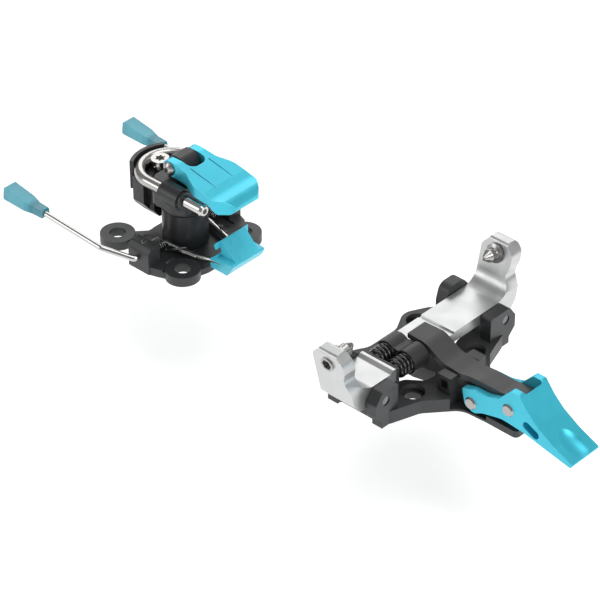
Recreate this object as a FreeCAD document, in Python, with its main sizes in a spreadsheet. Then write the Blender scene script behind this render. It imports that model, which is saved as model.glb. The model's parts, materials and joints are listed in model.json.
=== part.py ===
import FreeCAD, Part
import math
import os
import Sketcher
from FreeCAD import Placement, Rotation, Vector

# A two-piece touring ski binding. Millimetres, +Z up from the ski's top sheet, +X towards
# the ski tip, +Y to the left. The origin lies on the ski, under the line of the toe pins.

DIMS = {
    # toe base plate
    "toe_plate_thick": 6, "nose_thick": 3, "toe_hole_r": 3.4,
    "toe_head_r": 4.8, "toe_hole_front": 13.3, "toe_hole_rear": -15.7,
    "toe_hole_side": 18,
    # wings, their axles and pins
    "pivot_side": 35.3, "pivot_height": 12.1, "wing_rear": -7.5, "wing_width": 17,
    "axle_radius": 2, "running_gap": 0.04, "wing_lean_deg": 13, "closing_deg": 8,
    "pin_height": 33, "pin_tip_side": 38, "toe_pin_r": 2.7, "toe_flange_r": 4.1,
    "toe_shank_r": 3, "hex_key": 4, "hex_depth": 2.6,
    # spring pack
    "spring_height": 14.5, "spring_centre": 1.5, "spring_apart": 9.6, "spring_mean_r": 3.6,
    "spring_wire_r": 0.75, "spring_pitch": 1.95, "spring_turns": 6, "barrel_r": 5.2,
    "barrel_bore_r": 4.55, "barrel_bore_depth": 6.8, "barrel_length": 8.5, "barrel_end": -6.3,
    "rod_r": 1.9, "rod_length": 12.5, "seat_face": -21.4,
    # lever and link
    "lever_pivot_x": 33.9, "lever_pivot_z": 5.4, "link_pivot_x": 52.1, "link_pivot_z": 11.6,
    "lever_width": 16, "fork_gap": 10.2, "rivet_r": 2, "rivet_head_r": 2.7,
    "rivet_head_thick": 0.7, "link_width": 11, "lug_width": 9.6,
    # heel base
    "heel_plate_thick": 2.9, "heel_ring_thick": 4.2, "heel_axis_x": -127.5,
    "heel_hole_r": 3.5, "heel_hole_rear": -149.4, "heel_hole_front": -111.3,
    "heel_hole_side": 18, "heel_ring_r": 7.4, "inner_hole_x": -137.6,
    "inner_hole_side": 12, "inner_hole_r": 3, "inner_ring_r": 5.6,
    # turret, cover, heel spring and pins
    "post_r": 5, "post_height": 27, "turret_r": 9.7, "turret_foot": 3.3, "turret_top": 34.6,
    "heel_pin_height": 33, "heel_pin_side": 12.5, "boss_r": 4.8, "boss_bore_r": 2.65,
    "bush_r": 4, "heel_rod_r": 2.4, "heel_pin_r": 2.6, "heel_pin_tip_x": -103.2,
    "heel_pin_root_x": -119.6, "heel_pin_bare": 10.8, "bend_centre_x": -135.3,
    "cover_r": 15.7, "cover_foot": 11.2, "cover_top": 30.3, "cover_half_width": 10.8,
    "rim_foot": 22.4, "rim_top": 35.7, "screw_x": -141.1, "screw_head_r": 3.9, "screw_shank_r": 1.7,
    # flap
    "flap_axis_x": -127.3, "flap_axis_z": 41, "flap_axle_r": 1.8, "flap_lug_half": 4.2,
    "flap_slot_half": 4.7, "flap_rear_half": 8.3, "flap_front_half": 12.2,
    # brake
    "brake_axis_x": -128, "brake_axis_z": 6.5, "brake_wire_r": 1.25, "brake_arm_side": 34.6,
    "brake_bore_r": 1.29, "block_inner": 20.3, "block_outer": 27, "torsion_mean_r": 2.75,
    "torsion_wire_r": 0.42, "torsion_pitch": 1.05, "torsion_turns": 5, "brake_arm_reach": 42.6, "tip_x": -197.6,
}

nodes = []
doc = FreeCAD.newDocument("TouringBinding")
sheet = doc.addObject("Spreadsheet::Sheet", "Dims")
for row, (alias, value) in enumerate(DIMS.items(), 1):
    sheet.set(f"A{row}", alias)
    sheet.set(f"B{row}", str(value))
    sheet.setAlias(f"B{row}", alias)
doc.recompute()


def dim(alias):
    """The value that the sheet holds for an alias."""
    return float(sheet.get(alias))


def bind(feature, **sizes):
    """Tie a feature's properties to the sheet, each by an expression in its aliases."""
    for prop, expression in sizes.items():
        words = expression.split(" ")
        bound = ["Dims." + w if w in DIMS else w for w in words]
        feature.setExpression(prop, " ".join(bound))
    return feature


def rounded(points):
    """Edges of a closed outline of (x, y) points, or (x, y, radius) for a round corner."""
    corners = []
    for i, point in enumerate(points):
        here = Vector(point[0], point[1], 0)
        radius = point[2] if len(point) > 2 else 0
        back = Vector(*points[i - 1][:2], 0) - here
        ahead = Vector(*points[(i + 1) % len(points)][:2], 0) - here
        back.normalize()
        ahead.normalize()
        half = back.getAngle(ahead) / 2
        if radius and math.pi / 2 - half > 0.02:
            reach = radius / math.tan(half)
            middle = back + ahead
            middle.normalize()
            centre = here + middle * (radius / math.sin(half))
            corners.append((here + back * reach, centre - middle * radius, here + ahead * reach))
        else:
            corners.append((here, None, here))
    edges = []
    for i, (start, middle, end) in enumerate(corners):
        if middle is not None:
            edges.append(Part.Arc(start, middle, end))
        following = corners[(i + 1) % len(corners)][0]
        if (following - end).Length > 1e-6:
            edges.append(Part.LineSegment(end, following))
    return edges


def mirrored(points):
    """A half outline given at negative second coordinate, completed by its mirror image."""
    return points + [(p[0], -p[1]) + tuple(p[2:]) for p in reversed(points)]


def new_body(label):
    body = doc.addObject("PartDesign::Body", label)
    body.Label = label
    return body


def sketch(body, plane, outlines=(), circles=(), offset=0):
    """A sketch on one of the body's origin planes; circles are (x, y, radius alias)."""
    name = f"{body.Name}_sketch{len(body.Group)}"
    drawn = body.newObject("Sketcher::SketchObject", name)
    support = next(f for f in body.Origin.OriginFeatures if f.Role == plane)
    drawn.AttachmentSupport = [(support, "")]
    drawn.MapMode = "FlatFace"
    drawn.AttachmentOffset = Placement(Vector(0, 0, offset), Rotation())
    for outline in outlines:
        drawn.addGeometry(rounded(outline), False)
    for x, y, alias in circles:
        circle = Part.Circle(Vector(x, y, 0), Vector(0, 0, 1), dim(alias))
        index = drawn.addGeometry(circle, False)
        number = drawn.addConstraint(Sketcher.Constraint("Radius", index, dim(alias)))
        drawn.setExpression(f"Constraints[{number}]", f"Dims.{alias}")
    return drawn


def pad(body, profile, length, both_ways=False):
    feature = body.newObject("PartDesign::Pad", profile.Name + "_pad")
    feature.Profile = profile
    if both_ways:
        feature.SideType = "Symmetric"
    return bind(feature, Length=length)


def cut_through(body, profile):
    """Pocket right through, both ways from the sketch's plane."""
    feature = body.newObject("PartDesign::Pocket", profile.Name + "_cut")
    feature.Profile = profile
    feature.SideType = "Symmetric"
    feature.Type = "ThroughAll"
    return feature


def cut_up(body, profile, length="toe_plate_thick * 20"):
    """Pocket upwards from the sketch, clearing all that is above it."""
    feature = body.newObject("PartDesign::Pocket", profile.Name + "_cut")
    feature.Profile = profile
    feature.Reversed = True
    return bind(feature, Length=length)


def finish_edges(body, kind, size, chosen):
    """Fillet or chamfer the edges of the body's last feature that chosen() accepts."""
    doc.recompute()
    base = body.Tip
    names = [f"Edge{i}" for i, edge in enumerate(base.Shape.Edges, 1) if chosen(edge)]
    feature = body.newObject("PartDesign::" + kind, f"{base.Name}_{kind.lower()}")
    feature.Base = (base, names)
    setattr(feature, "Radius" if kind == "Fillet" else "Size", size)
    return feature


def tool(kind, name, place, **sizes):
    """A Part primitive with sizes from the sheet, at a placement."""
    shape = doc.addObject("Part::" + kind, name)
    bind(shape, **sizes)
    shape.Placement = place
    return shape


def toward(position, direction):
    """The placement whose Z axis points along direction."""
    return Placement(Vector(*position), Rotation(Vector(0, 0, 1), Vector(*direction)))


def joined(label, shapes):
    result = doc.addObject("Part::MultiFuse", label)
    result.Shapes = shapes
    result.Label = label
    return result


def add(node):
    """Keep a finished sub-part for the hand-over list."""
    nodes.append(node)
    return node


def bored(label, base, cutters):
    """The base with every cutter taken out."""
    tools = cutters[0]
    if len(cutters) > 1:
        tools = joined(label + "_tools", cutters)
    result = doc.addObject("Part::Cut", label)
    result.Base = base
    result.Tool = tools
    result.Label = label
    return result


def sleeve(label, place, outer, inner, length):
    """A plain bush or collar."""
    body = tool("Cylinder", label + "_blank", place, Radius=outer, Height=length)
    bore = tool("Cylinder", label + "_bore", place, Radius=inner, Height=length)
    return add(bored(label, body, [bore]))


def shaped(label, shape, place=Placement()):
    """A feature whose shape is worked out in code, then placed."""
    feature = doc.addObject("Part::Feature", label)
    feature.Shape = shape
    feature.Label = label
    feature.Placement = place
    return feature


def wire_solid(points, bend, radius):
    """A round wire along straight runs joined by tangent arcs of one bend radius."""
    points = [Vector(*p) for p in points]
    edges = []
    last = points[0]
    for before, here, after in zip(points, points[1:], points[2:]):
        back = (before - here).normalize()
        ahead = (after - here).normalize()
        half = back.getAngle(ahead) / 2
        reach = bend / math.tan(half)
        middle = (back + ahead).normalize()
        centre = here + middle * (bend / math.sin(half))
        start, end = here + back * reach, here + ahead * reach
        edges.append(Part.LineSegment(last, start).toShape())
        edges.append(Part.Arc(start, centre - middle * bend, end).toShape())
        last = end
    edges.append(Part.LineSegment(last, points[-1]).toShape())
    path = Part.Wire(edges)
    section = Part.Wire([Part.Circle(points[0], points[1] - points[0], radius).toShape()])
    return path.makePipeShell([section], True, False)


def coil(mean_r, wire_r, pitch, turns):
    """A helical spring along +Z, with its first wire centre on the XY plane."""
    path = Part.makeHelix(pitch, pitch * turns, mean_r)
    section = Part.Wire([Part.Circle(Vector(mean_r, 0, 0), Vector(0, 1, 0), wire_r).toShape()])
    return Part.Wire(path.Edges).makePipeShell([section], True, True)


def hexagon(flats):
    """A hexagon about the origin, by its width across flats."""
    corner = flats / math.sqrt(3)
    turns = [math.radians(60 * i) for i in range(6)]
    return [(corner * math.cos(t), corner * math.sin(t)) for t in turns]


SIDES = {"right": -1, "left": 1}


# --- Toe base: an open frame that carries the wings' axles and the lever's pivot ---

def make_toe_base():
    body = new_body("toe_base")
    rear, front, side = dim("toe_hole_rear"), dim("toe_hole_front"), dim("toe_hole_side")
    lever_x, lever_z = dim("lever_pivot_x"), dim("lever_pivot_z")
    plate = mirrored([
        (40, -7.8), (30, -8.4, 8), (19.5, -20.5, 6), (15, -34, 2), (-14, -34, 3),
        (-19, -27, 6), (-23.6, -18, 7), (-18.2, -8, 7)])
    windows = [[(-9.5, s * 26.5, 2), (-9.5, s * 5, 3), (2, s * 5, 3), (13.4, s * 2.4, 2),
                (12.2, s * 9.6, 3), (6, s * 14.4, 3), (4.2, s * 19, 3), (4.2, s * 26.5, 2)]
               for s in (-1, 1)]
    pad(body, sketch(body, "XY_Plane", [plate] + windows), "toe_plate_thick")
    nose = mirrored([(56.5, -7.7, 2), (31, -7.7)])
    pad(body, sketch(body, "XY_Plane", [nose]), "nose_thick")
    # Room beside the pivot lug for the lever's two ears.
    ears = [[(25.8, s * 4.9), (41.5, s * 4.9), (41.5, s * 12), (25.8, s * 12)] for s in (-1, 1)]
    cut_up(body, sketch(body, "XY_Plane", ears, offset=1))
    lug = [(26.5, 0.5), (39, 0.5), (38.6, lever_z + 1, 2), (lever_x + 2, lever_z + 4.6, 3),
           (lever_x - 3.5, lever_z + 4.4, 2), (26.5, 8.6, 1)]
    pad(body, sketch(body, "XZ_Plane", [lug]), "lug_width", both_ways=True)
    cut_through(body, sketch(body, "XZ_Plane", [], [(lever_x, lever_z, "rivet_r")]))
    # Two posts that guide the link.
    posts = [[(19.2, s * 6.3), (25.6, s * 6.3), (25.6, s * 10.4), (19.2, s * 10.4)]
             for s in (-1, 1)]
    pad(body, sketch(body, "XY_Plane", posts), "toe_plate_thick * 2.3")
    niches = [[(20.6, 8), (24.2, 8), (24.2, 12), (20.6, 12)]]
    for s in (-1, 1):
        niche = sketch(body, "XZ_Plane", niches, offset=-s * 7.9)
        feature = body.newObject("PartDesign::Pocket", niche.Name + "_cut")
        feature.Profile = niche
        feature.Reversed = s < 0
        feature.Length = 4
    # Front and rear ears of each wing's axle.
    y, z = dim("pivot_side"), dim("pivot_height")
    for s in (-1, 1):
        inside = 28.5 if s < 0 else 26
        front_ear = [(s * inside, 3), (s * 37.5, 3), (s * 41, 6.5, 1), (s * 41, z, 1),
                     (s * 37.6, z + 4.7, 1.5), (s * inside, z + 4.7, 1)]
        rear_ear = [(s * 25.5, 3), (s * 37.5, 3), (s * 40.5, 6, 1), (s * 40.5, z + 3, 6),
                    (s * 36, z + 8.6, 4), (s * 27.5, z + 8.6, 4), (s * 25.5, z + 2, 4)]
        pad(body, sketch(body, "YZ_Plane", [front_ear], offset=9.9), "toe_plate_thick * 0.85")
        pad(body, sketch(body, "YZ_Plane", [rear_ear], offset=-13), "toe_plate_thick * 0.85")
        # The foot under the ears reaches out to their full width.
        foot = [(-13, s * 33), (15, s * 33), (15, s * 37.5), (9.9, s * 37.5),
                (9.9, s * 35.5, 1), (-7.9, s * 35.5, 1), (-7.9, s * 37.5), (-13, s * 37.5)]
        pad(body, sketch(body, "XY_Plane", [foot]), "toe_plate_thick * 0.6")
    cut_through(body, sketch(body, "YZ_Plane", [], [(-y, z, "axle_radius"), (y, z, "axle_radius")]))
    # Screw holes, sunk for the screw heads.
    holes = [(x, s * side) for x in (rear, front) for s in (-1, 1)]
    cut_through(body, sketch(body, "XY_Plane", [], [(x, t, "toe_hole_r") for x, t in holes]))
    sinks = sketch(body, "XY_Plane", [], [(x, t, "toe_head_r") for x, t in holes], offset=3)
    cut_up(body, sinks, "toe_plate_thick * 0.8")
    return add(body)


# --- Wings: each turns on a lengthwise axle and carries one toe pin ---

def wing_outline(s, inner_end, lip):
    """The wing's section across the ski: leg, elbow round the axle, leaning plate."""
    y, z = dim("pivot_side"), dim("pivot_height")
    lean = math.tan(math.radians(dim("wing_lean_deg")))
    leg_top, leg_low, thick = 17, 12.3, 6
    outer_low, plate_top = 13, 37
    foot_y = y + 12.2
    top_y = foot_y + (plate_top - outer_low) * lean
    corner_y = foot_y + (leg_top - outer_low) * lean - thick
    inner = [(inner_end, leg_low), (y - 6.5, leg_low, 3), (y - 3.2, z - 3.9, 3),
             (y + 8.5, z - 3.2, 3), (foot_y, outer_low, 3), (top_y, plate_top, 1.5),
             (top_y - thick, plate_top + 0.6, 1.5), (corner_y, leg_top, 8)]
    if lip:
        inner += [(inner_end + 3.2, leg_top, 1), (inner_end + 1.7, leg_top + 1.1, 0.6),
                  (inner_end, leg_top + 1.1, 0.4)]
    else:
        inner += [(inner_end + 15.6, leg_top), (inner_end + 15.2, leg_top - 0.8),
                  (inner_end + 14.2, leg_top - 0.8), (inner_end + 13.8, leg_top - 0.3),
                  (inner_end, leg_top - 0.3)]
    return [(s * p[0],) + tuple(p[1:]) for p in inner]


def pin_place(s):
    """A toe pin's placement: its tip at the origin of its own frame, pointing along +Z."""
    turn = math.radians(dim("closing_deg"))
    tip = (0, s * dim("pin_tip_side"), dim("pin_height"))
    return toward(tip, (0, -s * math.cos(turn), math.sin(turn)))


def make_wing(name, s, inner_end, lip):
    body = new_body(name + "_blank")
    rear, width = dim("wing_rear"), dim("wing_width")
    front = rear + width
    pad(body, sketch(body, "YZ_Plane", [wing_outline(s, inner_end, lip)], offset=rear),
        "wing_width")
    y, z = s * dim("pivot_side"), dim("pivot_height")
    # The plate narrows to a waist and ends in a cut-cornered head round the pin.
    waist = [(front + 1, 19), (front, 19), (front - 3, 24.5, 4), (8, 29, 3),
             (8.2, 33.4, 4), (4.6, 37.2, 3), (2.6, 46), (front + 1, 46)]
    heel = [(rear - 1, 46), (-2.2, 46), (-4, 37.2, 3), (rear, 33.4, 4), (rear, 29),
            (rear - 1, 29)]
    cut_through(body, sketch(body, "XZ_Plane", [waist, heel]))
    place = pin_place(s)
    shank = tool("Cylinder", name + "_shank_bore", place.multiply(
        Placement(Vector(0, 0, -22), Rotation())), Radius="toe_shank_r", Height="toe_shank_r * 5")
    spot = tool("Cylinder", name + "_spot_face", place.multiply(
        Placement(Vector(0, 0, -7.7), Rotation())), Radius="toe_flange_r + 0.15",
        Height="toe_flange_r")
    running = tool("Cylinder", name + "_axle_bore", toward((rear - 1, y, z), (1, 0, 0)),
                   Radius="axle_radius + running_gap", Height="wing_width + 2")
    return add(bored(name, body, [shank, spot, running]))


def make_toe_pin(name, s):
    """A screwed-in pin: coned tip, flange against the wing, shank, key socket outside."""
    body = new_body(name)
    r, flange, shank = dim("toe_pin_r"), dim("toe_flange_r"), dim("toe_shank_r") - 0.01
    half = [(0, 0), (0.8, -0.2, 0.3), (r, -3.4, 0.5), (r, -6.4), (flange, -6.9), (flange, -7.7),
            (shank, -7.7), (shank, -14.6), (0, -14.6)]
    profile = sketch(body, "XZ_Plane", [half])
    turned = body.newObject("PartDesign::Revolution", name + "_turned")
    turned.Profile = profile
    turned.ReferenceAxis = (profile, ["V_Axis"])
    turned.Angle = 360
    socket = sketch(body, "XY_Plane", [hexagon(dim("hex_key"))], offset=-14.7)
    cut_up(body, socket, "hex_depth")
    body.Placement = pin_place(s)
    return add(body)


def make_axles():
    for side, s in SIDES.items():
        y, z = s * dim("pivot_side"), dim("pivot_height")
        axle = tool("Cylinder", "wing_axle_" + side, toward((-12.6, y, z), (1, 0, 0)),
                    Radius="axle_radius", Height="wing_width + 10.2")
        add(axle)


# --- Spring pack between the wings ---

def spring_centres():
    middle, half = dim("spring_centre"), dim("spring_apart") / 2
    return {"rear": middle - half, "front": middle + half}


def make_spring_pack():
    z, end, length = dim("spring_height"), dim("barrel_end"), dim("barrel_length")
    seat_face = dim("seat_face")
    barrels, bores, rods = [], [], []
    for name, x in spring_centres().items():
        barrels.append(tool("Cylinder", "barrel_" + name, toward((x, end, z), (0, -1, 0)),
                            Radius="barrel_r", Height="barrel_length"))
        mouth = (x, end - length - 0.01, z)
        bores.append(tool("Cylinder", "barrel_bore_" + name, toward(mouth, (0, 1, 0)),
                          Radius="barrel_bore_r", Height="barrel_bore_depth"))
        rods.append(tool("Cylinder", "rod_" + name, toward((x, seat_face, z), (0, 1, 0)),
                         Radius="rod_r", Height="rod_length"))
        turns = coil(dim("spring_mean_r"), dim("spring_wire_r"), dim("spring_pitch"),
                     dim("spring_turns"))
        start = (x, seat_face + dim("spring_wire_r") + 0.05, z)
        add(shaped("toe_spring_" + name, turns, toward(start, (0, 1, 0))))
    web = tool("Box", "barrel_web", Placement(
        Vector(spring_centres()["rear"], end - length, z - 3.6), Rotation()),
        Length="spring_apart", Width="barrel_length", Height="barrel_r * 1.44")
    add(bored("spring_housing", joined("housing_blank", barrels + [web]), bores))
    add(joined("spring_guide_rods", rods))
    # The seat hangs under the near leg and stands up against the springs' outer ends.
    body = new_body("spring_seat")
    leg_low = 12.2
    seat = [(seat_face - 6.8, 8.4, 1), (seat_face, 8.4, 1), (seat_face, 17.4, 0.6),
            (seat_face - 1.9, 17.4, 0.6), (seat_face - 1.9, leg_low), (seat_face - 6.8, leg_low)]
    pad(body, sketch(body, "YZ_Plane", [seat], offset=-6.6), "wing_width * 0.94")
    add(body)


# --- Lever, link and their rivets ---

def make_lever():
    body = new_body("lever_blank")
    side = [(29.4, 10.6, 0.5), (31, 3.2, 2.5), (35.6, 1.5, 3), (39.6, 3.6, 6), (49, 6, 14),
            (60, 5.1, 20), (71.7, 2.6, 20), (82.6, 0.4, 0.8), (84.2, 1.9, 0.8), (74, 6.4, 30),
            (66.4, 11, 12), (61.4, 15.6, 8), (57.2, 21, 1.5), (53, 21, 1.2), (49.6, 17.2, 1),
            (47, 14.2, 3), (41, 12.4, 10), (34.5, 12.2, 6)]
    pad(body, sketch(body, "XZ_Plane", [side]), "lever_width", both_ways=True)
    half = dim("fork_gap") / 2
    fork = [(20, -half), (57.8, -half, 1), (57.8, half, 1), (20, half)]
    cut_through(body, sketch(body, "XY_Plane", [fork]))
    x1, z1 = dim("lever_pivot_x"), dim("lever_pivot_z")
    x2, z2 = dim("link_pivot_x"), dim("link_pivot_z")
    cut_through(body, sketch(body, "XZ_Plane", [], [(x2, z2, "rivet_r")]))
    # A slanted window through the sides, under the finger ramp.
    window = [(60.6, 11.3, 1.8), (58.8, 8.1, 1.8), (66.2, 4.5, 1.8), (68, 7.7, 1.8)]
    cut_through(body, sketch(body, "XZ_Plane", [window]))
    finish_edges(body, "Fillet", 0.7, lambda e: e.Length > 6 and all(
        abs(abs(v.Y) - 8) < 0.01 for v in e.Vertexes) and min(v.X for v in e.Vertexes) > 46
        and max(v.Z for v in e.Vertexes) > 9)
    pivot = tool("Cylinder", "lever_pivot_bore", toward((x1, -12, z1), (0, 1, 0)),
                 Radius="rivet_r + running_gap", Height="lever_width * 1.5")
    # The thumb scoop: a long shallow dish in the ramp, open towards the tip.
    scoop = tool("Ellipsoid", "thumb_scoop", Placement(
        Vector(78.7, 0, 7.2), Rotation(Vector(0, 1, 0), 25)), Radius1="rivet_r * 2",
        Radius2="rivet_r * 4.5", Radius3="rivet_r * 3")
    return add(bored("toe_lever", body, [pivot, scoop]))


def make_link():
    """The curved band from the lever back over the wings' inner ends."""
    body = new_body("link_blank")
    side = [(-1.2, 17.4, 0.4), (8.6, 17.4, 5), (16.6, 12.6, 8), (27, 11.8, 20), (38, 12.4, 20),
            (46.5, 10.6, 4), (50.2, 8.7, 2.2), (54.6, 9, 2.2), (55.4, 13.6, 2.2),
            (54.8, 16.2, 1), (46, 15.2, 6), (36, 15.2, 16), (26, 14.2, 16), (17.4, 15, 9),
            (9, 19.8, 7), (-1.2, 19.8, 0.4)]
    pad(body, sketch(body, "XZ_Plane", [side]), "link_width", both_ways=True)
    x, z = dim("link_pivot_x"), dim("link_pivot_z")
    for s in (-1, 1):
        edge = s * dim("link_width") / 2
        flank = [(60, edge + s), (60, edge - s * 0.7), (30, edge - s * 0.7, 10), (20, edge, 10),
                 (20, edge + s)]
        tail = [(-5, edge + s), (-5, edge - s * 0.5), (-1, edge - s * 0.5), (10, edge, 3),
                (10, edge + s)]
        cut_through(body, sketch(body, "XY_Plane", [flank, tail]))
    pivot = tool("Cylinder", "link_bore", toward((x, -9, z), (0, 1, 0)),
                 Radius="rivet_r + running_gap", Height="lever_width + 4")
    return add(bored("lever_link", body, [pivot]))


def make_rivet(name, x, z):
    """A through pin with a low head outside each side of the lever."""
    width, head, half = dim("lever_width"), dim("rivet_head_thick"), dim("lever_width") / 2
    shank = tool("Cylinder", name + "_shank", toward((x, -half, z), (0, 1, 0)),
                 Radius="rivet_r", Height="lever_width")
    heads = [tool("Cone", f"{name}_head_{side}", toward((x, s * (half + 0.05), z), (0, s, 0)),
                  Radius1="rivet_head_r", Radius2="rivet_head_r * 0.8",
                  Height="rivet_head_thick") for side, s in SIDES.items()]
    necks = [tool("Cylinder", f"{name}_neck_{side}", toward((x, s * (half - 0.5), z), (0, s, 0)),
                  Radius="rivet_r", Height="rivet_head_thick + 0.2") for side, s in SIDES.items()]
    return add(joined(name, [shank] + heads + necks))


# --- Heel base: a low plate with screw rings, brake bearings and a fixed turret post ---

def make_heel_base():
    body = new_body("heel_base")
    axis_x, side = dim("heel_axis_x"), dim("heel_hole_side")
    front, rear = dim("heel_hole_front"), dim("heel_hole_rear")
    inner = (dim("inner_hole_x"), dim("inner_hole_side"))
    plate = mirrored([
        (-105.5, -9, 3), (-107, -15, 3), (front + 4, -side - 4, 4), (front - 4, -side - 6, 5),
        (-121, -26, 3), (-133.5, -27, 2), (-134.6, -19.5, 3), (rear + 8, -side + 0.5, 3),
        (rear - 3, -side - 3, 4), (rear - 3, -side + 4, 4), (-141.5, -9.5, 6), (-142.5, -4, 3)])
    windows = [[(-121.6, s * 13.2, 0.8), (-116.9, s * 14.2, 0.8), (-120.4, s * 20.6, 0.8)]
               for s in (-1, 1)]
    pad(body, sketch(body, "XY_Plane", [plate] + windows), "heel_plate_thick")
    for s in (-1, 1):
        for x in (rear, front):
            ring = sketch(body, "XY_Plane", [], [(x, s * side, "heel_ring_r")])
            pad(body, ring, "heel_ring_thick")
        ring = sketch(body, "XY_Plane", [], [(inner[0], s * inner[1], "inner_ring_r")])
        pad(body, ring, "heel_ring_thick * 0.86")
        # A rib ties the rear ring to the middle of the plate.
        rib = [(rear + 3, s * (side - 5)), (rear + 7, s * (side + 1.5)), (-139, s * 15),
               (-137, s * 8), (-141, s * 7)]
        pad(body, sketch(body, "XY_Plane", [rib]), "heel_ring_thick * 0.86")
        # The block that the brake wire turns in.
        low, high = dim("block_inner"), dim("block_outer")
        block = [(s * low, 0.2), (s * high, 0.2), (s * high, 9.6, 2.5), (s * (high - 2), 12.4, 2),
                 (s * low, 12.4, 1)]
        pad(body, sketch(body, "YZ_Plane", [block], offset=-133.6), "block_outer * 0.43")
        toe = [(-122.1, s * low), (-122.1, s * (high - 0.6)), (-116, s * (high - 2.6), 2),
               (-117.5, s * low)]
        pad(body, sketch(body, "XY_Plane", [toe]), "heel_ring_thick * 0.9")
    hub = sketch(body, "XY_Plane", [], [(axis_x, 0, "turret_r")])
    pad(body, hub, "heel_plate_thick")
    cut_through(body, sketch(body, "XZ_Plane", [], [
        (dim("brake_axis_x"), dim("brake_axis_z"), "brake_bore_r")]))
    holes = [(x, s * side, "heel_hole_r") for x in (rear, front) for s in (-1, 1)]
    holes += [(inner[0], s * inner[1], "inner_hole_r") for s in (-1, 1)]
    cut_through(body, sketch(body, "XY_Plane", [], holes))
    seat = sketch(body, "XY_Plane", [], [(axis_x, 0, "post_r")], offset=1)
    cut_up(body, seat)
    return add(body)


def make_post_and_screws():
    post = tool("Cylinder", "turret_post", Placement(
        Vector(dim("heel_axis_x"), 0, 1), Rotation()), Radius="post_r", Height="post_height")
    add(post)


# --- Turret and what turns with it ---

def make_turret():
    body = new_body("turret_blank")
    x, foot, top = dim("heel_axis_x"), dim("turret_foot"), dim("turret_top")
    column = sketch(body, "XY_Plane", [], [(x, 0, "turret_r")], offset=foot)
    pad(body, column, "turret_top - turret_foot - 6")
    half = dim("heel_pin_side")
    head = mirrored([(-114.8, -half, 2), (-120, -half - 2, 3), (-132.5, -half - 1.5, 4),
                     (-135.6, -8, 2)])
    pad(body, sketch(body, "XY_Plane", [head], offset=25), "turret_top - 25")
    shoulder = [(x - 7, 20), (x + 9, 24, 2), (x + 9, 26), (x - 7, 26)]
    pad(body, sketch(body, "XZ_Plane", [shoulder]), "turret_r * 2", both_ways=True)
    # The flap's lug stands between the arms of its fork.
    ax, az = dim("flap_axis_x"), dim("flap_axis_z")
    lug = [(ax - 5.2, 33), (ax + 7.4, 33), (ax + 7, 37.6, 2), (ax + 3.6, az + 3.6, 3.4),
           (ax - 4, az + 3.9, 4), (ax - 5, az - 2, 2)]
    pad(body, sketch(body, "XZ_Plane", [lug]), "flap_lug_half * 2", both_ways=True)
    cut_through(body, sketch(body, "XZ_Plane", [], [(ax, az, "flap_axle_r")]))
    z = dim("heel_pin_height")
    bosses, cutters = [], []
    for side, s in SIDES.items():
        y = s * half
        bosses.append(tool("Cylinder", "boss_" + side, toward((-126, y, z), (1, 0, 0)),
                           Radius="boss_r", Height="boss_r * 2.2"))
        cutters.append(tool("Cylinder", "boss_bore_" + side, toward((-136, y, z), (1, 0, 0)),
                            Radius="boss_bore_r", Height="boss_r * 5"))
        cutters.append(tool("Cylinder", "bush_seat_" + side, toward((-117.2, y, z), (1, 0, 0)),
                            Radius="bush_r", Height="boss_r"))
    cutters.append(tool("Cylinder", "post_bore", Placement(Vector(x, 0, 0), Rotation()),
                        Radius="post_r + running_gap", Height="post_height + 1.4"))
    cutters.append(tool("Torus", "turret_groove", Placement(Vector(x, 0, 19.8), Rotation()),
                        Radius1="turret_r + 0.3", Radius2="running_gap * 20"))
    return add(bored("turret", joined("turret_solid", [body] + bosses), cutters))


def make_cover():
    """The rear cover: a round-backed column under the spring's bend, with a rim behind it."""
    body = new_body("cover_blank")
    centre, foot = dim("bend_centre_x"), dim("cover_foot")
    half, r = dim("cover_half_width"), dim("cover_r")
    back_x = centre - math.sqrt(r * r - half * half)
    column = sketch(body, "XY_Plane", offset=foot)
    corners = [Vector(-140.5, half, 0), Vector(back_x, half, 0), Vector(back_x, -half, 0),
               Vector(-140.5, -half, 0)]
    column.addGeometry([
        Part.LineSegment(corners[0], corners[1]),
        Part.Arc(corners[1], Vector(centre - r, 0, 0), corners[2]),
        Part.LineSegment(corners[2], corners[3]), Part.LineSegment(corners[3], corners[0])])
    pad(body, column, "cover_top - cover_foot")
    web = [(-141, -8), (-137.4, -8), (-137.4, 8), (-141, 8)]
    pad(body, sketch(body, "XY_Plane", [web], offset=foot), "cover_top - cover_foot")
    # Its foot draws in on three sides, to turn clear of the brake.
    flanks = [[(s * 5, 10), (s * 5, foot), (s * (half + 0.01), 18.6), (s * 30, 18.6),
               (s * 30, 10)] for s in (-1, 1)]
    cut_through(body, sketch(body, "YZ_Plane", flanks))
    rear = [(-146.4, 10), (-146.4, foot), (-151.1, 16.4), (-160, 16.4), (-160, 10)]
    cut_through(body, sketch(body, "XZ_Plane", [rear]))
    # The rim: a curved wall close behind the bend.
    inner, outer, reach = dim("heel_pin_side") + dim("heel_rod_r") + 0.35, 17, math.radians(36)

    def on_arc(radius, angle):
        return Vector(centre - radius * math.cos(angle), radius * math.sin(angle), 0)

    rim = sketch(body, "XY_Plane", offset=dim("rim_foot"))
    rim.addGeometry([
        Part.Arc(on_arc(inner, reach), on_arc(inner, 0), on_arc(inner, -reach)),
        Part.LineSegment(on_arc(inner, -reach), on_arc(outer, -reach)),
        Part.Arc(on_arc(outer, -reach), on_arc(outer, 0), on_arc(outer, reach)),
        Part.LineSegment(on_arc(outer, reach), on_arc(inner, reach))])
    pad(body, rim, "rim_top - rim_foot")
    shank = tool("Cylinder", "screw_bore", Placement(
        Vector(dim("screw_x"), 0, 20), Rotation()), Radius="screw_shank_r", Height="turret_top")
    return add(bored("rear_cover", body, [shank]))


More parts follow.
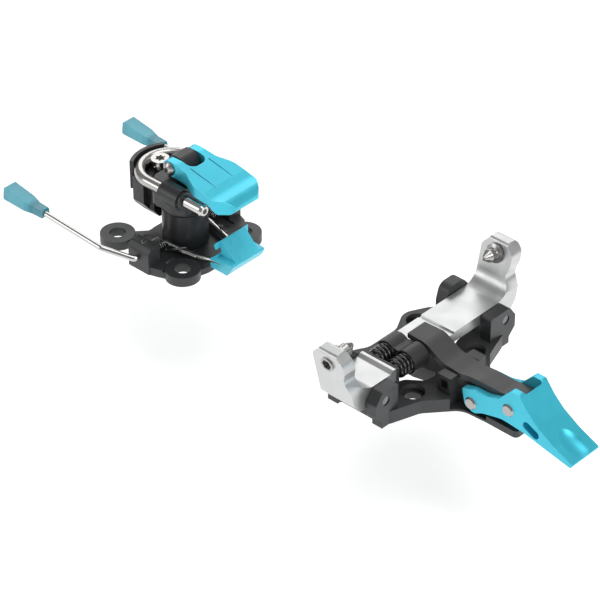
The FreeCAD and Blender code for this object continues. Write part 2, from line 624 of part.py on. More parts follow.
def make_heel_spring():
    """The U-shaped rod whose legs run into the turret's bosses."""
    z, y, x = dim("heel_pin_height"), dim("heel_pin_side"), dim("bend_centre_x")
    end = dim("heel_pin_root_x") - 0.3
    legs = [Part.LineSegment(Vector(end, y, z), Vector(x, y, z)).toShape(),
            Part.Arc(Vector(x, y, z), Vector(x - y, 0, z), Vector(x, -y, z)).toShape(),
            Part.LineSegment(Vector(x, -y, z), Vector(end, -y, z)).toShape()]
    section = Part.Circle(Vector(end, y, z), Vector(1, 0, 0), dim("heel_rod_r")).toShape()
    rod = Part.Wire(legs).makePipeShell([Part.Wire([section])], True, False)
    return add(shaped("heel_spring", rod))


def make_heel_pin(name, s):
    """A shouldered pin: a shank of the rod's size in the bush, and a thicker bare end."""
    body = new_body(name)
    length = dim("heel_pin_tip_x") - dim("heel_pin_root_x")
    r, shank, bare = dim("heel_pin_r"), dim("heel_rod_r"), dim("heel_pin_bare")
    half = [(0, 0), (r - 0.6, 0, 0.2), (r, -1.2, 0.5), (r, -bare), (shank, -bare),
            (shank, -length), (0, -length)]
    profile = sketch(body, "XZ_Plane", [half])
    turned = body.newObject("PartDesign::Revolution", name + "_turned")
    turned.Profile = profile
    turned.ReferenceAxis = (profile, ["V_Axis"])
    turned.Angle = 360
    socket = sketch(body, "XY_Plane", [hexagon(dim("hex_key") * 0.55)], offset=-2.2)
    cut_up(body, socket, "hex_depth")
    tip = (dim("heel_pin_tip_x"), s * dim("heel_pin_side"), dim("heel_pin_height"))
    body.Placement = toward(tip, (1, 0, 0))
    add(body)
    place = toward((-117.2, tip[1], tip[2]), (1, 0, 0))
    sleeve("pin_bush_" + name.split("_")[-1], place, "bush_r", "boss_bore_r", "bush_r * 0.8")


def make_cover_screw():
    """The star-socket screw inside the bend, standing on its collar."""
    x, top = dim("screw_x"), 36
    head = tool("Cylinder", "screw_head", Placement(Vector(x, 0, top - 2), Rotation()),
                Radius="screw_head_r", Height="screw_shank_r * 1.2")
    shank = tool("Cylinder", "screw_shank", Placement(Vector(x, 0, 21), Rotation()),
                 Radius="screw_shank_r", Height="screw_shank_r * 8")
    socket = doc.addObject("Part::Feature", "star_socket")
    lobes = []
    for i in range(24):
        reach = 2.2 if i % 4 in (0, 1) else 1.55
        angle = math.radians(15 * i)
        lobes.append(Vector(reach * math.cos(angle), reach * math.sin(angle), 0))
    socket.Shape = Part.Face(Part.makePolygon(lobes + lobes[:1])).extrude(Vector(0, 0, 3))
    socket.Placement = Placement(Vector(x, 0, top - 1.5), Rotation())
    add(bored("cover_screw", joined("cover_screw_blank", [head, shank]), [socket]))
    place = Placement(Vector(x, 0, dim("cover_top")), Rotation())
    sleeve("screw_collar", place, "screw_shank_r * 1.6", "screw_shank_r", "screw_shank_r * 0.9")


# --- Flap: the heel rest that folds forward over the pins ---

def make_flap():
    body = new_body("flap_blank")
    ax, az = dim("flap_axis_x"), dim("flap_axis_z")
    side = [(ax - 3.5, az - 3.4, 3), (-120, 37.5, 20), (-101.6, 36.35, 1.5), (-97.2, 33.6, 2.5),
            (-92.4, 34, 1.8), (-91.2, 37, 2.2), (-94.2, 40.1, 3.2), (-99.5, 39.6, 10),
            (-104.5, 40.9, 10), (ax + 4, az + 3.5, 8), (ax - 3.5, az + 3.4, 3)]
    pad(body, sketch(body, "XZ_Plane", [side]), "flap_front_half * 2 + 2", both_ways=True)
    rear, front = dim("flap_rear_half"), dim("flap_front_half")
    # Trim to the outline seen from above: slim arms, a broad front with round corners.
    flanks = []
    for s in (-1, 1):
        flanks.append([(-135, s * 20), (-135, s * rear), (ax + 4.5, s * rear, 4),
                       (-117.5, s * (rear + 0.5), 4), (-110.5, s * (front - 0.3), 8),
                       (-98.2, s * front, 6.5), (-91.7, s * 7.4, 5.5), (-91.1, s * 1),
                       (-88, s * 1), (-88, s * 20)])
    cut_through(body, sketch(body, "XY_Plane", flanks))
    half = dim("flap_slot_half")
    slot = [(-140, -half), (ax + 9.6, -half, 3.5), (ax + 9.6, half, 3.5), (-140, half)]
    cut_through(body, sketch(body, "XY_Plane", [slot]))
    # Two fine grooves along the top.
    slope = math.degrees(math.atan2(3.4, 22))
    grooves = [tool("Box", "flap_groove_" + side_name, Placement(
        Vector(-118.5, s * 5.2 - 0.25, 42.62), Rotation(Vector(0, 1, 0), slope * 0.92)),
        Length="flap_front_half * 1.36", Width="running_gap * 12", Height="flap_slot_half")
        for side_name, s in SIDES.items()]
    axle = tool("Cylinder", "flap_axle_bore", toward((ax, -15, az), (0, 1, 0)),
                Radius="flap_axle_r + running_gap", Height="flap_front_half * 2.5")
    return add(bored("heel_flap", body, [axle] + grooves))


def make_flap_axle():
    ax, az, half = dim("flap_axis_x"), dim("flap_axis_z"), dim("flap_rear_half")
    add(tool("Cylinder", "flap_axle", toward((ax, -half, az), (0, 1, 0)),
             Radius="flap_axle_r", Height="flap_rear_half * 2"))
    buttons = []
    for side, s in SIDES.items():
        dome = tool("Sphere", "button_dome_" + side, Placement(
            Vector(ax, s * (half - 2.3), az), Rotation()), Radius="heel_pin_r * 1.6")
        outside = tool("Cylinder", "button_zone_" + side, toward(
            (ax, s * (half + 0.1), az), (0, s, 0)), Radius="screw_head_r * 0.78",
            Height="heel_pin_r")
        button = doc.addObject("Part::Common", "button_" + side)
        button.Base, button.Tool = dome, outside
        key = doc.addObject("Part::Prism", "button_key_" + side)
        key.Polygon = 6
        bind(key, Circumradius="hex_key * 0.3", Height="hex_key")
        key.Placement = toward((ax, s * (half + 0.8), az), (0, s, 0))
        buttons.append(bored("flap_button_" + side, button, [key]))
    add(joined("flap_screws", buttons))


# --- Brake: two wires, a foot pad between them and a tip on each arm ---

def make_brake():
    x, z, side = dim("brake_axis_x"), dim("brake_axis_z"), dim("brake_arm_side")
    r = dim("brake_wire_r")
    plate = new_body("pad_blank")
    profile = [(-100.1, 17.7, 0.5), (-91.3, 9.2, 0.5), (-92.6, 6.4, 1), (-94.5, 4, 1),
               (-103.6, 4, 1), (-104.2, 8.2, 1.5), (-99.4, 12, 2), (-101.8, 15.8, 0.4)]
    pad(plate, sketch(plate, "XZ_Plane", [profile]), "block_outer * 0.7", both_ways=True)
    # The plate is slimmer than the block that grips the wires.
    trims = [[(-100.6, s * 20), (-100.6, s * 6.9), (-85, s * 6.6), (-85, s * 20)]
             for s in (-1, 1)]
    trim = sketch(plate, "XY_Plane", trims, offset=9.9)
    cut_up(plate, trim)
    grips = []
    for name, s in SIDES.items():
        route = [(-98.2, s * 8.2, 7.6), (-103, s * 8.3, 7.2), (-112, s * 8.9, 4.9),
                 (x, s * 12.2, z), (x, s * 29, z), (-140.5, s * (side + 1.2), 9.6),
                 (-183, s * side, 10.4)]
        wire = wire_solid(route, 1.9, r)
        add(shaped("brake_wire_" + name, wire))
        grips.append(shaped("wire_grip_" + name, wire_solid(route[:3], 1.9, r)))
        make_brake_tip("brake_tip_" + name, s)
        make_torsion_spring("brake_spring_" + name, s)
    add(bored("brake_pad", plate, grips))


def make_brake_tip(name, s):
    body = new_body(name + "_blank")
    side, end = s * dim("brake_arm_side"), dim("tip_x")
    outline = [(-180, 8.4, 1), (-174.6, 8.5, 0.8), (-174.6, 12.1, 0.8), (-180, 12.3, 1),
               (end + 0.8, 15, 0.8), (end, 8.6, 0.8)]
    pad(body, sketch(body, "XZ_Plane", [outline], offset=-side), "brake_wire_r * 5",
        both_ways=True)
    flats = [[(-170, side + t * 6), (-170, side + t * 1.9), (-180.5, side + t * 2.1, 2),
              (-185, side + t * 3.1, 4), (-203, side + t * 3.1), (-203, side + t * 6)]
             for t in (-1, 1)]
    cut_through(body, sketch(body, "XY_Plane", flats))
    arm = [(-140.5, s * (dim("brake_arm_side") + 1.2), 9.6), (-183, side, 10.4)]
    direction = Vector(*arm[1]) - Vector(*arm[0])
    hole = tool("Cylinder", name + "_hole", toward(arm[0], direction),
                Radius="brake_wire_r", Height="brake_arm_reach")
    return add(bored(name, body, [hole]))


def make_torsion_spring(name, s):
    """A coil round the wire's cross leg, with a tail that lies along the wire."""
    x, z = dim("brake_axis_x"), dim("brake_axis_z")
    mean_r, wire_r = dim("torsion_mean_r"), dim("torsion_wire_r")
    turns = coil(mean_r, wire_r, dim("torsion_pitch"), dim("torsion_turns"))
    place = toward((x, -19.4, z), (0, 1, 0))
    turned = turns.copy()
    turned.Placement = place
    end = place.multVec(Vector(mean_r, 0, dim("torsion_pitch") * dim("torsion_turns")))
    tangent = place.Rotation.multVec(Vector(0, 1, 0))
    run = [end + tangent * 0.01, end + tangent * 2.2, Vector(-116.6, -10.6, 8.2)]
    tail = wire_solid([tuple(p) for p in run], 0.9, wire_r)
    spring = Part.makeCompound([turned, tail])
    if s > 0:
        spring = spring.mirror(Vector(), Vector(0, 1, 0))
    return add(shaped(name, spring))


make_toe_base()
make_wing("wing_right", -1, 23.6, lip=True)
make_wing("wing_left", 1, -5.2, lip=False)
make_toe_pin("toe_pin_right", -1)
make_toe_pin("toe_pin_left", 1)
make_axles()
make_spring_pack()
make_lever()
make_link()
make_rivet("lever_rivet", dim("lever_pivot_x"), dim("lever_pivot_z"))
make_rivet("link_rivet", dim("link_pivot_x"), dim("link_pivot_z"))
make_heel_base()
make_post_and_screws()
make_turret()
make_cover()
make_heel_spring()
make_heel_pin("heel_pin_right", -1)
make_heel_pin("heel_pin_left", 1)
make_cover_screw()
make_flap()
make_flap_axle()
make_brake()
doc.recompute()

for item in doc.Objects:
    faults = [state for state in item.State if state in ("Invalid", "Error")]
    if faults:
        raise RuntimeError(f"{item.Name} did not compute: {faults}")
    # Every pocket and bore has to take something away.
    before = {"PartDesign::Pocket": "BaseFeature", "Part::Cut": "Base"}.get(item.TypeId)
    if before and getattr(item, before).Shape.Volume - item.Shape.Volume < 0.05:
        raise RuntimeError(f"{item.Name} cuts nothing")
os.makedirs("parts", exist_ok=True)
for node in nodes:
    shape = node.Shape
    if shape.isNull() or not shape.isValid() or not shape.Solids:
        raise RuntimeError(node.Label + " has no valid solid")
    print(f"{node.Label}: {len(shape.Solids)} solid, {shape.Volume:.1f} mm3")
    shape.exportStep(f"parts/{node.Label}.step")
print(len(nodes), "nodes")
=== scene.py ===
# %% [markdown]
# # A touring ski binding, piece by piece
#
# The real object is a two-part binding for ski touring. The toe piece holds the boot
# between two coned steel pins on sprung aluminium wings. The heel piece has a turret on a
# post, two steel pins, a flap to stand on when climbing, and a wire brake.
#
# Every machined part comes from the CAD model, which is loaded as a fixed frame. The
# lesson is about what a CAD model lacks: the small broken edges that catch the light, the
# grain of blasted and anodised metal, tinted plastic, and springs with round, even wire.

# %% Load the frame
import json
import math

import bmesh
import bpy
from mathutils import Matrix, Vector


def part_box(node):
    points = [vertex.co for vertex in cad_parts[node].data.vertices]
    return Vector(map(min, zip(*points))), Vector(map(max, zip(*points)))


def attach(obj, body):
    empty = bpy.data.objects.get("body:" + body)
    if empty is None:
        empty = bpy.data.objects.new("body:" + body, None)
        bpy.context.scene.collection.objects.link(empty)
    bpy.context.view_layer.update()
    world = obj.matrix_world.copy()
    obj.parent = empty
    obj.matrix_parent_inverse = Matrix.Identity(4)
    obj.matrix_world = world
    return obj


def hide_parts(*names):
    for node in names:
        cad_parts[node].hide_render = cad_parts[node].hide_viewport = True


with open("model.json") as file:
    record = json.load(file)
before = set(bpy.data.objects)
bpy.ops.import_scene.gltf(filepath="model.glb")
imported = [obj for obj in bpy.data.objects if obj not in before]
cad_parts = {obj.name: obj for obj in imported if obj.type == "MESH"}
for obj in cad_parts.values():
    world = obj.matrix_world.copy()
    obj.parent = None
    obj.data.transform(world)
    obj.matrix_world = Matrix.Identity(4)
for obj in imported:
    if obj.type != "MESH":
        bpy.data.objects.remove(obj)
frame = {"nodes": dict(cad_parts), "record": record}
bpy.context.view_layer.update()
nodes = frame["nodes"]

# %% [markdown]
# ## Camera
#
# A product photographer stands well back with a long lens, so near and far parts keep
# almost the same scale. The camera is placed by its angles round a point in the middle of
# the binding, 1.2 m away. A small lens shift sets the object's place in the picture
# without turning the camera, so the perspective stays as it was.

# %% Camera
AZIMUTH, ELEVATION, ROLL = math.radians(43.6), math.radians(35.2), math.radians(-0.5)
DISTANCE = 1.2
look_at = Vector((-0.0715, 0, 0.0138))
back = Vector((math.sin(AZIMUTH) * math.cos(ELEVATION),
               -math.cos(AZIMUTH) * math.cos(ELEVATION), math.sin(ELEVATION)))
camera = bpy.data.objects.new("camera", bpy.data.cameras.new("camera"))
bpy.context.scene.collection.objects.link(camera)
camera.data.sensor_width = 36
camera.data.lens = 179.3
camera.data.shift_x, camera.data.shift_y = 0.0267, -0.0525
camera.data.clip_start, camera.data.clip_end = 0.05, 20
camera.rotation_mode = "QUATERNION"
camera.location = look_at + back * DISTANCE
camera.rotation_quaternion = (back.to_track_quat("Z", "Y").to_matrix()
                              @ Matrix.Rotation(ROLL, 3, "Z")).to_quaternion()
bpy.context.scene.camera = camera
print("camera at", [round(v, 3) for v in camera.location])

# %% [markdown]
# ## Light and floor
#
# Metal shows what stands round it. A satin wing looks white where it mirrors a large pale
# panel and grey where it mirrors the dark of the room. So the light is a bright, even
# surround with four large soft panels: one above, one behind to draw bright edges, one low
# at the camera's left, and one in front of the toe that lights the lever's ramp.
#
# The binding is shown as it sits on a ski, so the plain white floor lies a ski's thickness
# below it, clear of the brake's arms when they swing down.

# %% Light and floor
world = bpy.data.worlds.new("studio")
bpy.context.scene.world = world
world.use_nodes = True
sky = world.node_tree.nodes["Background"]
sky.inputs["Color"].default_value = (1, 1, 1, 1)
sky.inputs["Strength"].default_value = 0.30
bpy.context.scene.view_settings.view_transform = "Standard"


def soft_panel(name, position, aim, size, watts):
    """A large square area light that faces a point."""
    light = bpy.data.lights.new(name, "AREA")
    light.shape, light.size, light.energy = "SQUARE", size, watts
    holder = bpy.data.objects.new(name, light)
    bpy.context.scene.collection.objects.link(holder)
    holder.location = position
    holder.rotation_mode = "QUATERNION"
    holder.rotation_quaternion = (Vector(position) - Vector(aim)).to_track_quat("Z", "Y")


soft_panel("panel_above", (0.0, 0.15, 0.9), (-0.06, 0, 0), 0.6, 2.4)
soft_panel("panel_behind", (-0.75, 0.7, 0.6), (-0.05, 0, 0.02), 0.7, 2.6)
soft_panel("panel_low", (-0.65, -0.75, 0.35), (-0.05, 0, 0.01), 0.45, 1.6)
soft_panel("panel_front", (0.75, 0.05, 0.6), (0.0, 0, 0), 0.5, 3.2)

floor_mesh = bpy.data.meshes.new("floor")
half_floor, floor_height = 6.0, -0.045
floor_mesh.from_pydata([(x * half_floor, y * half_floor, floor_height)
                        for x, y in ((-1, -1), (1, -1), (1, 1), (-1, 1))], [], [(0, 1, 2, 3)])
floor = bpy.data.objects.new("floor", floor_mesh)
bpy.context.scene.collection.objects.link(floor)
white = bpy.data.materials.new("floor_white")
white.use_nodes = True
paper = white.node_tree.nodes["Principled BSDF"]
paper.inputs["Base Color"].default_value = (0.93, 0.93, 0.93, 1)
paper.inputs["Roughness"].default_value = 0.9
paper.inputs["Emission Color"].default_value = (1, 1, 1, 1)
paper.inputs["Emission Strength"].default_value = 0.45
floor_mesh.materials.append(white)

# %% [markdown]
# ## A small kit for finishes
#
# Every finish here has the same three layers. A slow pattern changes the colour a little
# from place to place, as handling and dye do. A second one changes the roughness. A fine
# one lifts and lowers the surface by a few microns, which is the grain. The patterns read
# Object coordinates, in metres, so they stay with the piece when it moves.

# %% Node helpers


def new_finish(name):
    """A material with an empty Principled shader and its Object coordinates."""
    material = bpy.data.materials.new(name)
    material.use_nodes = True
    tree = material.node_tree
    place = tree.nodes.new("ShaderNodeTexCoord").outputs["Object"]
    return material, tree, tree.nodes["Principled BSDF"], place


def noise(tree, place, scale, detail=3.0, stretch=(1, 1, 1)):
    """A noise pattern; stretch above 1 makes it finer along that axis."""
    mapping = tree.nodes.new("ShaderNodeMapping")
    mapping.inputs["Scale"].default_value = stretch
    pattern = tree.nodes.new("ShaderNodeTexNoise")
    pattern.inputs["Scale"].default_value = scale
    pattern.inputs["Detail"].default_value = detail
    tree.links.new(place, mapping.inputs["Vector"])
    tree.links.new(mapping.outputs["Vector"], pattern.inputs["Vector"])
    return pattern.outputs["Fac"]


def ramp(tree, factor, stops):
    """Colours along a factor: stops is a list of (position, colour)."""
    node = tree.nodes.new("ShaderNodeValToRGB")
    while len(node.color_ramp.elements) < len(stops):
        node.color_ramp.elements.new(0.5)
    for element, (position, colour) in zip(node.color_ramp.elements, stops):
        element.position, element.color = position, (*colour, 1)
    tree.links.new(factor, node.inputs["Fac"])
    return node.outputs["Color"]


def spread(tree, factor, low, high):
    """A noise factor's middle range spread between two values."""
    node = tree.nodes.new("ShaderNodeMapRange")
    node.inputs["From Min"].default_value = 0.3
    node.inputs["From Max"].default_value = 0.7
    node.inputs["To Min"].default_value = low
    node.inputs["To Max"].default_value = high
    tree.links.new(factor, node.inputs["Value"])
    return node.outputs["Result"]


def relief(tree, shader, height, depth, strength=1.0, under=None):
    """A bump of some depth in metres, on top of another one if given."""
    node = tree.nodes.new("ShaderNodeBump")
    node.inputs["Strength"].default_value = strength
    node.inputs["Distance"].default_value = depth
    tree.links.new(height, node.inputs["Height"])
    if under:
        tree.links.new(under, node.inputs["Normal"])
    tree.links.new(node.outputs["Normal"], shader.inputs["Normal"])
    return node.outputs["Normal"]


def shade(colour, factor):
    return tuple(min(1.0, c * factor) for c in colour)


print("helpers ready")

# %% [markdown]
# ## Blasted and anodised metal
#
# The base plates, wings and levers are aluminium, tumbled or blasted with fine beads and
# then anodised. The beads leave a matt grain of about a quarter of a millimetre. The dye
# takes evenly, but broken edges end up a little lighter, because the layer is thin there
# and hands rub them; the lighter edges here are also a painted highlight. So each anodised
# finish comes as a pair: one for the faces, and a lighter, smoother one for the edges, whose
# lighter colour is edge wear together with a painted highlight.
#
# Anodised colour could be a coated metal with a clear layer. One metallic shader with a
# strong colour gives the same look with less noise, so that is the way here.

# %% Blasted metal


def blasted_metal(name, colour, metallic, roughness, grain=0.00002, mottle=0.06):
    """Bead-blasted, dyed metal with slow colour drift and a fine grain."""
    material, tree, shader, place = new_finish(name)
    shader.inputs["Metallic"].default_value = metallic
    drift = noise(tree, place, 55, 4)
    tree.links.new(ramp(tree, drift, [(0.3, shade(colour, 1 - mottle)),
                                      (0.7, shade(colour, 1 + mottle))]),
                   shader.inputs["Base Color"])
    tree.links.new(spread(tree, noise(tree, place, 160, 3), roughness - 0.04, roughness + 0.05),
                   shader.inputs["Roughness"])
    beads = relief(tree, shader, noise(tree, place, 3600, 2), grain, 0.55)
    relief(tree, shader, noise(tree, place, 420, 3), grain * 1.6, 0.35, under=beads)
    return material


# Each edge finish is lighter than its face: edge wear together with a painted highlight along the
# bevels.
silver = blasted_metal("silver_face", (0.60, 0.605, 0.605), 0.85, 0.34, grain=0.000012,
                       mottle=0.03)
silver_edge_wear_and_highlight = blasted_metal("silver_edge_wear_and_highlight", (0.78, 0.78, 0.78), 0.95, 0.2, grain=0.000006)
graphite = blasted_metal("graphite_face", (0.052, 0.053, 0.055), 0.35, 0.42)
graphite_edge_wear_and_highlight = blasted_metal("graphite_edge_wear_and_highlight", (0.105, 0.106, 0.108), 0.5, 0.33, grain=0.00001)
band_grey = blasted_metal("band_face", (0.072, 0.072, 0.074), 0.3, 0.46)
band_edge_wear_and_highlight = blasted_metal("band_edge_wear_and_highlight", (0.13, 0.13, 0.132), 0.45, 0.36, grain=0.00001)
cyan = blasted_metal("cyan_face", (0.06, 0.60, 0.77), 0.45, 0.34, mottle=0.05)
cyan_edge_wear_and_highlight = blasted_metal("cyan_edge_wear_and_highlight", (0.16, 0.74, 0.88), 0.55, 0.26, grain=0.00001)
print("blasted finishes:", [m.name for m in bpy.data.materials if "face" in m.name])

# %% [markdown]
# ## Turned and drawn steel
#
# Pins, rivets, screws and axles are turned on a lathe, and the heel spring and brake wires
# are drawn through a die. Both ways leave very fine lines, across the axis on a turned
# part and along it on a drawn one. A noise pattern squeezed along one axis gives lines.

# %% Steel


def drawn_steel(name, colour, roughness, stretch, lines=0.000006):
    """Polished steel with fine lines from the tool."""
    material, tree, shader, place = new_finish(name)
    shader.inputs["Metallic"].default_value = 1
    streaks = noise(tree, place, 700, 4, stretch)
    tree.links.new(ramp(tree, streaks, [(0.25, shade(colour, 0.9)), (0.75, shade(colour, 1.06))]),
                   shader.inputs["Base Color"])
    tree.links.new(spread(tree, streaks, roughness - 0.04, roughness + 0.07),
                   shader.inputs["Roughness"])
    relief(tree, shader, streaks, lines, 0.5)
    return material


steel_along_x = drawn_steel("steel_along_x", (0.50, 0.49, 0.475), 0.2, (0.05, 1, 1))
steel_turned = drawn_steel("steel_turned", (0.44, 0.43, 0.42), 0.24, (0.2, 2.2, 0.2))
steel_bright = drawn_steel("steel_bright", (0.60, 0.595, 0.585), 0.12, (0.06, 1, 1))
steel_blued = drawn_steel("steel_blued", (0.2, 0.2, 0.205), 0.24, (0.4, 1, 1))
print("steel finishes:", [m.name for m in bpy.data.materials if m.name.startswith("steel")])

# %% [markdown]
# ## Spring black, moulded plastic and tinted plastic
#
# The toe springs have a thick glossy black coat. The turret and its cover are glass-filled
# nylon: black, slightly shiny, with a soft orange-peel texture from the mould. The brake's
# tips are tinted see-through plastic, so they let some light pass. They look darker along
# the sleeve, where the plastic is thick round the wire, than in the thin fin behind it.

# %% Coats and plastics


def moulded(name, colour, roughness, peel, specular=0.5, coat=0.0):
    """Moulded plastic or a baked coat: a soft skin with shallow, wide bumps."""
    material, tree, shader, place = new_finish(name)
    shader.inputs["Specular IOR Level"].default_value = specular
    shader.inputs["Coat Weight"].default_value = coat
    shader.inputs["Coat Roughness"].default_value = 0.12
    tree.links.new(ramp(tree, noise(tree, place, 90, 4),
                        [(0.3, shade(colour, 0.88)), (0.7, shade(colour, 1.12))]),
                   shader.inputs["Base Color"])
    tree.links.new(spread(tree, noise(tree, place, 240, 3), roughness - 0.06, roughness + 0.07),
                   shader.inputs["Roughness"])
    skin = relief(tree, shader, noise(tree, place, 900, 2), peel, 0.5)
    relief(tree, shader, noise(tree, place, 2600, 1), peel * 0.4, 0.4, under=skin)
    return material


spring_coat = moulded("spring_black_coat", (0.012, 0.012, 0.013), 0.22, 0.000008, coat=0.7)
nylon = moulded("nylon_black", (0.026, 0.027, 0.029), 0.36, 0.00003)
# The nylon edge finish is lighter than its face: wear together with a painted highlight along the
# bevels.
nylon_edge_wear_and_highlight = moulded("nylon_edge_wear_and_highlight", (0.05, 0.051, 0.053), 0.32, 0.00002)
barrel_black = moulded("barrel_black", (0.028, 0.028, 0.029), 0.42, 0.00002)
pad_cyan = moulded("pad_cyan", (0.07, 0.60, 0.77), 0.3, 0.00002, coat=0.2)
tinted = moulded("tinted_cyan", (0.035, 0.40, 0.52), 0.16, 0.00001, coat=0.3)
# The tips' colour changes along X where the sleeve ends and the fin begins.
tip_tree = tinted.node_tree
tip_shader = tip_tree.nodes["Principled BSDF"]
along = tip_tree.nodes.new("ShaderNodeSeparateXYZ")
tip_tree.links.new(tip_tree.nodes["Texture Coordinate"].outputs["Object"], along.inputs["Vector"])
sleeve = tip_tree.nodes.new("ShaderNodeMapRange")
for label, value in (("From Min", -0.1835), ("From Max", -0.1815), ("To Min", 0), ("To Max", 1)):
    sleeve.inputs[label].default_value = value
tip_tree.links.new(along.outputs["X"], sleeve.inputs["Value"])
tip_tree.links.new(ramp(tip_tree, sleeve.outputs["Result"],
                        [(0, (0.075, 0.50, 0.62)), (1, (0.022, 0.34, 0.45))]),
                   tip_shader.inputs["Base Color"])
tip_shader.inputs["Transmission Weight"].default_value = 0.35
tip_shader.inputs["IOR"].default_value = 1.5
print(len(bpy.data.materials), "materials")

# %% [markdown]
# ## Broken edges
#
# No machined edge is perfectly sharp. A fillet of a few tenths of a millimetre catches the
# light along every outline, and it is the first thing that the eye misses in a CAD model.
#
# The frame's meshes stay as they are, so the work is done on copies. A copy is merged and
# its flat triangles are joined into whole faces, and then a Bevel rounds what is sharper
# than BEVEL_ANGLE. The bevel's own faces get the lighter edge finish, whose lighter colour is
# wear together with a painted highlight. Weighted normals keep the large flat faces flat.
# The result stands for its CAD node.

# %% Rounding kit
MERGE_DISTANCE = 0.000002  # in metres
FLAT_ANGLE, SHARP_ANGLE, BEVEL_ANGLE = (math.radians(v) for v in (0.6, 38, 34))


def clean_copy(name):
    """The CAD node's mesh, merged, with its flat triangles joined into faces."""
    mesh = nodes[name].data.copy()
    work = bmesh.new()
    work.from_mesh(mesh)
    bmesh.ops.remove_doubles(work, verts=work.verts, dist=MERGE_DISTANCE)
    bmesh.ops.dissolve_degenerate(work, edges=work.edges, dist=MERGE_DISTANCE)
    bmesh.ops.dissolve_limit(work, angle_limit=FLAT_ANGLE, verts=work.verts, edges=work.edges)
    work.to_mesh(mesh)
    work.free()
    mesh.materials.clear()
    return mesh


def as_plain_mesh(piece, name):
    """The evaluated piece as a plain mesh, with its modifiers gone."""
    bpy.context.view_layer.update()
    graph = bpy.context.evaluated_depsgraph_get()
    mesh = bpy.data.meshes.new_from_object(piece.evaluated_get(graph))
    mesh.name = name
    piece.modifiers.clear()
    piece.data = mesh
    return piece


def set_smooth(piece):
    """Smooth shading, kept sharp where two faces meet at more than SHARP_ANGLE."""
    work = bmesh.new()
    work.from_mesh(piece.data)
    for face in work.faces:
        face.smooth = True
    for edge in work.edges:
        edge.smooth = len(edge.link_faces) == 2 and edge.calc_face_angle(0) < SHARP_ANGLE
    work.to_mesh(piece.data)
    work.free()


def softened(node, body, face, edge, width_mm):
    """A copy of a CAD node with broken edges, which stands for it."""
    piece = bpy.data.objects.new(node + "_finished", clean_copy(node))
    bpy.context.scene.collection.objects.link(piece)
    piece.data.materials.append(face)
    piece.data.materials.append(edge)
    for polygon in piece.data.polygons:
        polygon.material_index = 0
    bevel = piece.modifiers.new("broken_edge", "BEVEL")
    bevel.width, bevel.segments = width_mm / 1000, 2
    bevel.limit_method, bevel.angle_limit = "ANGLE", BEVEL_ANGLE
    # The bevel faces take slot 1, the lighter edge finish: wear together with a painted
    # highlight.
    bevel.material, bevel.miter_outer = 1, "MITER_ARC"
    bevel.use_clamp_overlap = True
    as_plain_mesh(piece, node + "_finished")
    set_smooth(piece)
    weighted = piece.modifiers.new("flat_faces", "WEIGHTED_NORMAL")
    weighted.keep_sharp, weighted.weight = True, 60
    as_plain_mesh(piece, node + "_finished")
    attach(piece, body)
    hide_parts(node)
    return piece


body_of_node = {n: b for b, ns in frame["record"]["behaviour"]["bodies"].items() for n in ns}
print("rounding kit ready for", len(body_of_node), "nodes")

# %% Machined and moulded parts
# Each node's finish, its edge finish, and the width of its broken edges in millimetres.
# Where the edge finish is lighter, its colour is wear together with a painted highlight.
FINISHES = {
    "toe_base": (graphite, graphite_edge_wear_and_highlight, 0.35),
    "heel_base": (graphite, graphite_edge_wear_and_highlight, 0.35),
    "wing_right": (silver, silver_edge_wear_and_highlight, 0.5),
    "wing_left": (silver, silver_edge_wear_and_highlight, 0.5),
    "toe_lever": (cyan, cyan_edge_wear_and_highlight, 0.3),
    "lever_link": (band_grey, band_edge_wear_and_highlight, 0.3),
    "heel_flap": (cyan, cyan_edge_wear_and_highlight, 0.4),
    "spring_seat": (graphite, graphite_edge_wear_and_highlight, 0.25),
    "spring_housing": (barrel_black, barrel_black, 0.3),
    "turret": (nylon, nylon_edge_wear_and_highlight, 0.4),
    "rear_cover": (nylon, nylon_edge_wear_and_highlight, 0.4),
    "brake_pad": (pad_cyan, pad_cyan, 0.3),
    "brake_tip_right": (tinted, tinted, 0.25),
    "brake_tip_left": (tinted, tinted, 0.25),
}
for node, (face, edge, width) in FINISHES.items():
    piece = softened(node, body_of_node[node], face, edge, width)
    print(f"{piece.name}: {len(piece.data.polygons)} faces")

# %% [markdown]
# ## The toe springs
#
# Two short coil springs push the wings apart or together. A spring is wire that follows a
# helix, so its shape is a rule: a radius, a wire size, a pitch and a number of turns. A
# Geometry Nodes tree states that rule once, and both springs use it with their own place.
# The wire could also be a curve with a round bevel, but then its numbers would be hidden
# in the points. The place and sizes of each coil come from its CAD node's box.

# %% Wound spring tree
SPRING_INPUTS = {"Mean Radius": 0.0036, "Wire Radius": 0.00075, "Height": 0.0117, "Turns": 6.0}
SPRING_NODES = ("toe_spring_rear", "toe_spring_front")


